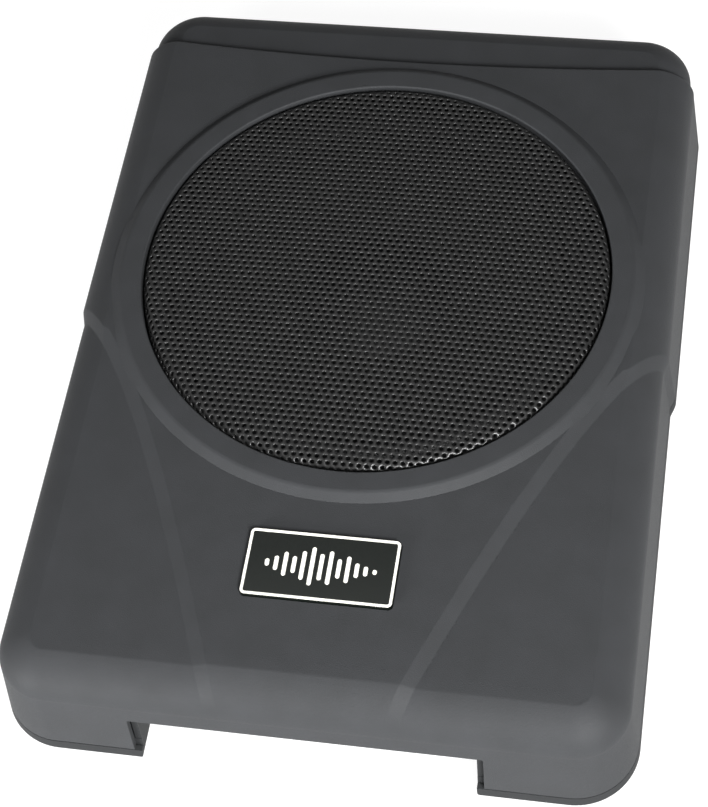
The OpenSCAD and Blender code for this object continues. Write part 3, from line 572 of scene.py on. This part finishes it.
# the cover: shell, speaker well with its raised ring, screw posts, notch for the bay, pocket for the badge
POST_R = 4.0
PILOT_R = 1.55
LEDGE_Z = extent("basket_gasket")[0].z
LEDGE_R = 88.0
LEDGE_T = 2.2
RING_W = 8.8
RING_FALL = 4.4
ring_top_r = OPENING_R + RING_W
well_r = OPENING_R + 3
slope = (RING_Z - SADDLE_Z) / 3.7
cover = halved(skin, (0, 0, COVER_Z), (0, 0, 1))
cover = combined(cover, casing_form(WALL, 0))
cover = combined(cover, rods([(0, SPEAKER_Y)], OPENING_R + 1.3, 20, 80, 192))
well = spun([(well_r, LEDGE_Z - LEDGE_T), (well_r, SADDLE_Z - 2.6), (ring_top_r + RING_FALL, SADDLE_Z - 2.6),
             (ring_top_r + RING_FALL, RING_Z - RING_FALL * slope), (ring_top_r, RING_Z),
             (OPENING_R, RING_Z), (OPENING_R, LEDGE_Z), (LEDGE_R, LEDGE_Z), (LEDGE_R, LEDGE_Z - LEDGE_T)],
            (0, SPEAKER_Y, 0), soft=((4, 1.0), (5, 0.7)))
cover = combined(cover, well, "UNION")
posts = combined(rods(COVER_SCREWS, POST_R, POST_Z, SIDE_Z, 32), casing_form(WALL / 2, 0), "INTERSECT")
cover = combined(cover, posts, "UNION")
cover = combined(cover, rods(COVER_SCREWS, PILOT_R, POST_Z - 2, POST_Z + 14, 20))
notch_half = BAY_HALF + BAY_WALL + GAP
cover = combined(cover, block(-notch_half, notch_half, FRONT_Y - PAST, FRONT_Y + CORNER_R, -PAST,
                              BAY_Z + BAY_WALL + GAP, "y", 0.8))
badge_low, badge_high = extent("badge_plate")
cover = combined(cover, block(badge_low.x - GAP, badge_high.x + GAP, badge_low.y - GAP, badge_high.y + GAP,
                              badge_low.z, badge_high.z + PAST, "z", 2))
piece(cover, "cover_moulding", FINISH["cover_plastic"], stands_for=["top_cover"],
      sharp_above=19, crease_z=CREASE_Z)

# the tray: floor, wall and lip, then the bay's side walls and roof
LIP_H = 4.0
LIP_W = 1.6
STUD_R = 6.0
tray = halved(low_skin, (0, 0, PART_Z), (0, 0, -1))
tray = combined(tray, casing_form(WALL, FLOOR_Z))
lip = combined(halved(casing_form(WALL + GAP, FLOOR_Z - 0.5), (0, 0, PART_Z + LIP_H), (0, 0, -1)),
               casing_form(WALL + GAP + LIP_W, 0))
tray = combined(tray, lip, "UNION")
FLANGE_BACK = PANEL_HIGH.y + 8
FLANGE_W = 5.0
shroud = combined(block(-BAY_HALF - BAY_WALL, BAY_HALF + BAY_WALL, FRONT_Y - PAST, FLANGE_BACK, UNDER_Z + 1,
                        BAY_Z + BAY_WALL, "y", 1.6), casing_form(WALL + GAP, UNDER_Z - 1), "INTERSECT")
tray = combined(tray, shroud, "UNION")
studs = rods(COVER_SCREWS, STUD_R, UNDER_Z + 1, POST_Z - GAP, 32)
tray = combined(tray, studs, "UNION")
tray = combined(tray, block(-BAY_HALF, BAY_HALF, FRONT_Y - PAST, PANEL_HIGH.y, -PAST, BAY_Z, "y", 0.8))
tray = combined(tray, block(FLANGE_W - BAY_HALF, BAY_HALF - FLANGE_W, PANEL_HIGH.y - 2, FLANGE_BACK + 3,
                            UNDER_Z + 4, BAY_Z))
# each screw's hole, and the wider recess for its head
tray = combined(tray, rods(COVER_SCREWS, 1.8, -2, 20, 20))
tray = combined(tray, rods(COVER_SCREWS, 3.6, -2, UNDER_Z + 3.2, 40))
INSERTS = mirrored_places([(110, 120), (110, -120)])
tray = combined(tray, rods(INSERTS, 3.5, -2, UNDER_Z + 8, 40))
# the bay's side walls are rounded over at their lower edges
LEG_ROUND = 2.6
for side in (-1, 1):
    edge, centre = side * (BAY_HALF - 1), side * (BAY_HALF + LEG_ROUND)
    corner = block(min(edge, centre), max(edge, centre), FRONT_Y - PAST, PANEL_HIGH.y, UNDER_Z - 1,
                   UNDER_Z + LEG_ROUND)
    turn = Matrix.Translation((centre, FRONT_Y, UNDER_Z + LEG_ROUND)) @ Matrix.Rotation(pi / 2, 4, "X")
    rod = bmesh.new()
    bmesh.ops.create_cone(rod, cap_ends=True, segments=64, radius1=LEG_ROUND, radius2=LEG_ROUND, depth=120,
                          matrix=turn)
    tray = combined(tray, combined(corner, rod))
piece(tray, "tray_moulding", FINISH["tray_plastic"], stands_for=["bottom_tray"],
      sharp_above=22)


# ---------------------------------------------------------------- rubber feet

FOOT_R = 9.0
GROOVE = 0.5
feet = bmesh.new()
foot_low, foot_high = extent("rubber_feet")
foot_outline = [(0.001, foot_high.z), (FOOT_R - 0.6, foot_high.z), (FOOT_R, foot_high.z - 0.8),
                (FOOT_R, GROOVE), (FOOT_R - 0.5, 0), (6.5, 0), (6.2, GROOVE), (5.6, GROOVE), (5.3, 0),
                (3, 0), (2.7, GROOVE), (0.001, GROOVE)]
for x in (foot_low.x + FOOT_R, foot_high.x - FOOT_R):
    for y in (foot_low.y + FOOT_R, foot_high.y - FOOT_R):
        foot = spun(foot_outline, (x, y, 0), steps=64)
        joined_on(feet, foot)
piece(feet, "foot_pads", FINISH["foot_rubber"], stands_for=["rubber_feet"], sharp_above=40)


# ---------------------------------------------------------------- perforated grille

HOLE_PITCH = 3.05
HOLE_R = 1.0
HOLE_SIDES = 9
ROLL_R = 3.5
CROWN = 1.8
SHEET = 0.9


def perforated_grille():
    """Pressed sheet: a crowned field of round holes in staggered rows, a rolled rim and a skirt."""
    low, high = extent("grille")
    crown_r = high.x - ROLL_R
    roll_end = crown_r + ROLL_R * pi / 2
    field_r = roll_end + 1.5
    row = HOLE_PITCH * sqrt(3) / 2
    bm = bmesh.new()
    for place in ((0, 0), (HOLE_PITCH / 2, row)):
        at = Matrix.Translation((place[0], place[1], 0))
        ends = [*bmesh.ops.create_circle(bm, segments=HOLE_SIDES, radius=HOLE_R, matrix=at)["verts"],
                *bmesh.ops.create_circle(bm, segments=6, radius=HOLE_PITCH / sqrt(3), matrix=at)["verts"]]
        bmesh.ops.bridge_loops(bm, edges=list({e for v in ends for e in v.link_edges}))
    across = int(field_r / HOLE_PITCH) + 1
    rows = int(field_r / (2 * row)) + 1
    bmesh.ops.translate(bm, vec=(-across * HOLE_PITCH, -2 * rows * row, 0), verts=bm.verts)
    apart = dict(use_relative_offset=False, use_constant_offset=True)
    bm = shaped_by(bm, [
        ("ARRAY", dict(count=2 * across + 1, constant_offset_displace=(HOLE_PITCH, 0, 0), **apart)),
        ("ARRAY", dict(count=2 * rows + 1, constant_offset_displace=(0, 2 * row, 0), **apart))])
    bmesh.ops.remove_doubles(bm, verts=bm.verts, dist=0.01)

    def hole_of(point):
        """Middle of the hole whose piece of sheet holds this point."""
        near = []
        for k in (int(point.y // row), int(point.y // row) + 1):
            shift = HOLE_PITCH / 2 * (k % 2)
            near.append(Vector((round((point.x - shift) / HOLE_PITCH) * HOLE_PITCH + shift, k * row, 0)))
        return min(near, key=lambda c: (c - point).length)

    margin = HOLE_PITCH / sqrt(3) + 0.12
    outside = [f for f in bm.faces if hole_of(f.calc_center_median()).length > field_r - margin]
    bmesh.ops.delete(bm, geom=outside, context="FACES")
    ragged = [e for e in bm.edges if e.is_boundary
              and all((v.co - hole_of(v.co)).length > HOLE_R + 0.3 for v in e.verts)]
    rim = bmesh.ops.create_circle(bm, segments=216, radius=field_r)["verts"]
    loop = list({e for v in rim for e in v.link_edges})
    bmesh.ops.triangle_fill(bm, use_beauty=True, edges=ragged + loop)
    edge_z = high.z - CROWN
    widened(bm, loop, (roll_end + edge_z - ROLL_R - low.z) / field_r)
    for vert in bm.verts:
        along = hypot(vert.co.x, vert.co.y)
        bend = min(max(along - crown_r, 0) / ROLL_R, pi / 2)
        out = min(along, crown_r) + ROLL_R * sin(bend)
        drop = ROLL_R * (1 - cos(bend)) + max(along - roll_end, 0)
        if along > crown_r:
            vert.co.x, vert.co.y = vert.co.x * out / along, vert.co.y * out / along
        vert.co.z = edge_z - drop + CROWN * (1 - (min(along, crown_r) / crown_r) ** 2)
    bmesh.ops.recalc_face_normals(bm, faces=bm.faces)
    if sum(f.normal.z for f in bm.faces) < 0:
        bmesh.ops.reverse_faces(bm, faces=bm.faces)
    bm = shaped_by(bm, [("SOLIDIFY", dict(thickness=SHEET, offset=-1))])
    bmesh.ops.translate(bm, vec=(0, SPEAKER_Y, 0), verts=bm.verts)
    return bm


def widened(bm, loop, grow):
    """Carries an edge loop outwards from the middle."""
    new = bmesh.ops.extrude_edge_only(bm, edges=loop)["geom"]
    bmesh.ops.scale(bm, vec=(grow, grow, 1), verts=[g for g in new if isinstance(g, bmesh.types.BMVert)])


# soft shading all over: the coat rounds the edge of every hole
piece(perforated_grille(), "grille_sheet", FINISH["grille_steel"], stands_for=["grille"],
      sharp_above=None)


# ---------------------------------------------------------------- badge

def plate_outline(grow, radius):
    """The badge's outline, grown or shrunk, as one flat face on the badge's top."""
    bm = bmesh.new()
    bmesh.ops.create_grid(bm, x_segments=1, y_segments=1, size=1)
    size = (badge_high - badge_low) / 2
    bmesh.ops.scale(bm, vec=(size.x + grow, size.y + grow, 1), verts=bm.verts)
    bmesh.ops.bevel(bm, geom=bm.verts[:], offset=radius, affect="VERTICES", segments=8, profile=0.5,
                    material=-1)
    bmesh.ops.translate(bm, vec=(0, middle("badge_plate").y, badge_high.z), verts=bm.verts)
    return bm


def thickened(bm, rise):
    """Gives flat faces a height upwards, closed all round."""
    top = bmesh.ops.extrude_face_region(bm, geom=bm.faces[:], use_keep_orig=True)["geom"]
    bmesh.ops.translate(bm, vec=(0, 0, rise), verts=[g for g in top if isinstance(g, bmesh.types.BMVert)])
    bmesh.ops.recalc_face_normals(bm, faces=bm.faces)
    return bm


PLATE_ROUND = 2.0
plate = plate_outline(0, PLATE_ROUND)
plate = thickened(plate, badge_low.z - badge_high.z)
top_edges = [e for e in plate.edges if all(abs(v.co.z - badge_high.z) < 0.01 for v in e.verts)]
bmesh.ops.bevel(plate, geom=top_edges, offset=0.15, affect="EDGES", segments=2, profile=0.5, material=-1)
piece(plate, "badge_body", FINISH["badge_black"], stands_for=["badge_plate"])

PRINT = 0.12
BORDER_IN = 0.15
BORDER_W = 1.05
border = plate_outline(-BORDER_IN, PLATE_ROUND - BORDER_IN)
inner = border.faces[:][0]
bmesh.ops.inset_region(border, faces=[inner], thickness=BORDER_W, use_even_offset=True, use_boundary=True)
bmesh.ops.delete(border, geom=[inner], context="FACES_ONLY")
piece(thickened(border, PRINT), "badge_border", FINISH["collar_white"])

# a plain row of level bars
bars = bmesh.new()
BAR_HEIGHTS = (3, 6, 10, 7, 12, 16, 11, 14, 8, 11, 6, 4, 2)
BAR_PITCH = 3.4
BAR_HALF = 0.8
y = middle("badge_plate").y
for i, tall in enumerate(BAR_HEIGHTS):
    x = (i - (len(BAR_HEIGHTS) - 1) / 2) * BAR_PITCH
    bar = block(x - BAR_HALF, x + BAR_HALF, y - tall / 2, y + tall / 2, badge_high.z, badge_high.z + PRINT,
                "z", BAR_HALF - 0.02)
    joined_on(bars, bar)
piece(bars, "badge_level_bars", FINISH["collar_white"])


# ---------------------------------------------------------------- woofer parts that flex

def radial_weights(made):
    """Bakes the piece's placement into its mesh."""
    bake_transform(made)


def strip_round(line, thickness, steps=144):
    """A thin strip spun round the speaker's axis, with its thickness below the line."""
    bm = spun(line, (0, SPEAKER_Y, 0), steps, closed=False)
    if sum(f.normal.z * f.calc_area() for f in bm.faces) < 0:
        bmesh.ops.reverse_faces(bm, faces=bm.faces)
    return shaped_by(bm, [("SOLIDIFY", dict(thickness=thickness, offset=-1, use_even_offset=True))])


ROLL_IN, ROLL_OUT = 76.0, 86.0
ROLL_STEPS = 24
roll_z = extent("surround")[0].z + 0.8
roll_half = (ROLL_OUT - ROLL_IN) / 2
roll_line = [(ROLL_IN - 3.4, roll_z)]
for i in range(ROLL_STEPS + 1):
    a = pi * (1 - i / ROLL_STEPS)
    roll_line.append((ROLL_IN + roll_half + roll_half * cos(a), roll_z + roll_half * 0.9 * sin(a)))
roll_line.append((ROLL_OUT + 1.7, roll_z))
surround = piece(strip_round(roll_line, 0.75), "surround_roll", FINISH["surround_rubber"],
                 body=None, stands_for=["surround"], sharp_above=50)
radial_weights(surround)

SPIDER_IN, SPIDER_OUT = 25.0, 61.0
SPIDER_WAVES = 4
SPIDER_STEPS = 96
WAVE_H = 0.9
spider_z = extent("spider")[0].z + 0.6
wave_end = SPIDER_IN + (SPIDER_OUT - SPIDER_IN) * 0.86
spider_line = []
for i in range(SPIDER_STEPS + 1):
    r = SPIDER_IN + (SPIDER_OUT - SPIDER_IN) * i / SPIDER_STEPS
    turn = 2 * pi * SPIDER_WAVES * (r - SPIDER_IN) / (wave_end - SPIDER_IN)
    swell = (1 - cos(turn)) / 2 if r < wave_end else 0
    spider_line.append((r, spider_z + WAVE_H * swell))
spider = piece(strip_round(spider_line, 0.55, 96), "spider_disc", FINISH["spider_cloth"],
               body=None, stands_for=["spider"], sharp_above=60)
radial_weights(spider)


# ---------------------------------------------------------------- hard parts with their edges broken

def softened(node, radius, slot, steps=2):
    """A copy of a hard CAD part whose edges are broken by a small radius. It stands for the part."""
    bm = bmesh.new()
    bm.from_mesh(frame["nodes"][node].data)
    bmesh.ops.scale(bm, vec=(1 / MM, 1 / MM, 1 / MM), verts=bm.verts)
    bmesh.ops.remove_doubles(bm, verts=bm.verts, dist=0.004)
    bmesh.ops.dissolve_limit(bm, angle_limit=radians(0.5), verts=bm.verts, edges=bm.edges)
    edges = [e for e in bm.edges if e.is_manifold and e.calc_face_angle(0.0) > radians(35)]
    bmesh.ops.bevel(bm, geom=edges, offset=radius, affect="EDGES", segments=steps, profile=0.5, material=-1,
                    clamp_overlap=True)
    piece(bm, node + "_finished", FINISH[slot], body=BODY_OF[node], stands_for=[node], sharp_above=32)


SOFTENED = (
    ("cover_screws", 0.25, "black_screw"), ("bracket_inserts", 0.3, "brass"),
    ("control_panel", 0.2, "panel_steel"), ("panel_screws", 0.2, "black_screw"),
    ("power_socket", 0.35, "socket_white"), ("power_pins", 0.12, "contact_gold"),
    ("fuse_holder", 0.35, "socket_black"), ("fuse", 0.3, "fuse_orange"),
    ("speaker_level_socket", 0.3, "socket_white"), ("speaker_level_pins", 0.1, "contact_gold"),
    ("rca_shells", 0.2, "nickel"), ("rca_collar_left", 0.3, "collar_white"),
    ("rca_collar_right", 0.3, "collar_red"), ("remote_port", 0.3, "socket_black"),
    ("gain_knob", 0.18, "knob_black"), ("lowpass_knob", 0.18, "knob_black"), ("pot_nuts", 0.2, "nickel"),
    ("gain_pot", 0.3, "pot_steel"), ("lowpass_pot", 0.3, "pot_steel"), ("phase_switch", 0.3, "pot_steel"),
    ("phase_slider", 0.3, "slider_white"), ("basket_screws", 0.25, "black_screw"),
    ("board_screws", 0.25, "plated_steel"), ("supply_capacitors", 0.9, "capacitor_sleeve"),
    ("filter_coils", 1.2, "package_black"), ("control_chips", 0.2, "package_black"),
    ("wire_header", 0.3, "socket_white"), ("top_plate", 0.5, "plated_steel"), ("magnet", 0.8, "ferrite"),
    ("yoke", 0.6, "plated_steel"), ("choke_core", 0.8, "core_green"), ("terminal_tabs", 0.15, "contact_gold"),
    ("terminal_strip", 0.2, "strip_board"), ("heat_sink", 0.2, "sink_aluminium"),
    ("basket", 0.35, "basket_steel"),
)
for node, radius, slot in SOFTENED:
    softened(node, radius, slot)

KEPT = {
    "cover_seal": "foam", "grille_seal": "foam", "basket_gasket": "foam", "cone": "cone_paper",
    "dust_cap": "cap_plastic", "coil_former": "former_paper", "voice_coil": "copper",
    "tinsel_leads": "tinsel", "speaker_wire_red": "wire_red", "speaker_wire_black": "wire_black",
    "rca_inserts": "slider_white", "power_led": "led_blue", "amplifier_board": "board_green",
    "output_transistors": "package_black", "choke_winding": "copper",
}
for node, slot in KEPT.items():
    mesh = frame["nodes"][node].data
    mesh.materials.clear()
    mesh.materials.append(FINISH[slot])

# printed ticks round each knob
DIAL_TICKS = 7
TICK_REACH = 5.2
ticks = bmesh.new()
for knob in ("gain_knob", "lowpass_knob"):
    at = middle(knob)
    for i in range(DIAL_TICKS):
        turn = Matrix.Rotation(radians(-135 + 45 * i), 4, "Y")
        out = Matrix.Translation((0, 0, TICK_REACH))
        place = Matrix.Translation((at.x, PANEL_LOW.y - 0.02, at.z)) @ turn @ out
        bmesh.ops.create_cube(ticks, size=1, matrix=place @ Matrix.Diagonal((0.35, 0.06, 0.9, 1)))
piece(ticks, "dial_ticks", FINISH["collar_white"])


# ---------------------------------------------------------------- floor, light and camera

bpy.ops.mesh.primitive_circle_add(vertices=96, radius=8, fill_type="NGON")
floor = bpy.context.object
floor.name = "floor"
# Pale floor sheet that glows with its own emission, though no lamp is in it: painted light that washes out
# the shadows cast on it, so they stay faint.
painted_glow_floor = finish("Floor with painted glow", "#858585", "#828282", 0.9, 0.03, 1.5, 0.01, patch=60,
              Specular_IOR_Level=0.0, Emission_Color=(1, 1, 1, 1))
# the painted glow is strongest under the middle and fades away from there
floor_nodes = painted_glow_floor.node_tree
place = floor_nodes.nodes["Texture Coordinate"].outputs["Object"]
near = add(floor_nodes, "ShaderNodeMapping", {"Vector": place, "Scale": (0.6, 0.6, 0.6)})
glow = add(floor_nodes, "ShaderNodeTexGradient", {"Vector": near.outputs["Vector"]}, gradient_type="SPHERICAL")
fade = add(floor_nodes, "ShaderNodeMapRange", {"Value": glow.outputs[1], "From Min": 0.1, "From Max": 0.68,
                                         "To Min": 0.3, "To Max": 0.88})
floor_nodes.links.new(fade.outputs[0], floor_nodes.nodes["Principled BSDF"].inputs["Emission Strength"])
floor.data.materials.append(painted_glow_floor)

world = bpy.data.worlds.new("studio")
bpy.context.scene.world = world
world.use_nodes = True
world.node_tree.nodes["Background"].inputs["Color"].default_value = (1, 1, 1, 1)
world.node_tree.nodes["Background"].inputs["Strength"].default_value = 0.22


def soft_light(name, place, aim, width, height, power):
    """A rectangular lamp at a place, in metres, that points at its aim."""
    light = bpy.data.lights.new(name, "AREA")
    light.shape = "RECTANGLE"
    light.size, light.size_y, light.energy = width, height, power
    lamp = bpy.data.objects.new(name, light)
    lamp.location = place
    lamp.rotation_mode = "QUATERNION"
    lamp.rotation_quaternion = (Vector(aim) - Vector(place)).to_track_quat("-Z", "Y")
    bpy.context.scene.collection.objects.link(lamp)


soft_light("front right softbox", (0.52, -0.78, 0.66), (0, -0.05, 0.03), 0.4, 0.4, 28)
soft_light("low front lamp", (-0.5, -0.7, 0.2), (-0.1, -0.15, 0.03), 0.3, 0.2, 10)
soft_light("overhead softbox", (0, 0.1, 1.8), (0, 0, 0), 1.2, 1.2, 4)

# the camera stands high in front of the right corner and looks down at the middle of the cover
lens = bpy.data.cameras.new("camera")
lens.lens = 94.97
lens.sensor_width = 36
lens.clip_start, lens.clip_end = 0.05, 50
camera = bpy.data.objects.new("camera", lens)
bpy.context.scene.collection.objects.link(camera)
right = Vector((0.9845252, 0.1527608, -0.0858735))
ahead = Vector((-0.1536554, 0.5168782, -0.8421561))
up = right.cross(ahead)
camera.matrix_world = Matrix.Translation((0.1290, -0.46775, 0.75599)) @ Matrix(
    (right, up, -ahead)).transposed().to_4x4()
bpy.context.scene.camera = camera
bpy.context.scene.view_settings.view_transform = "Standard"
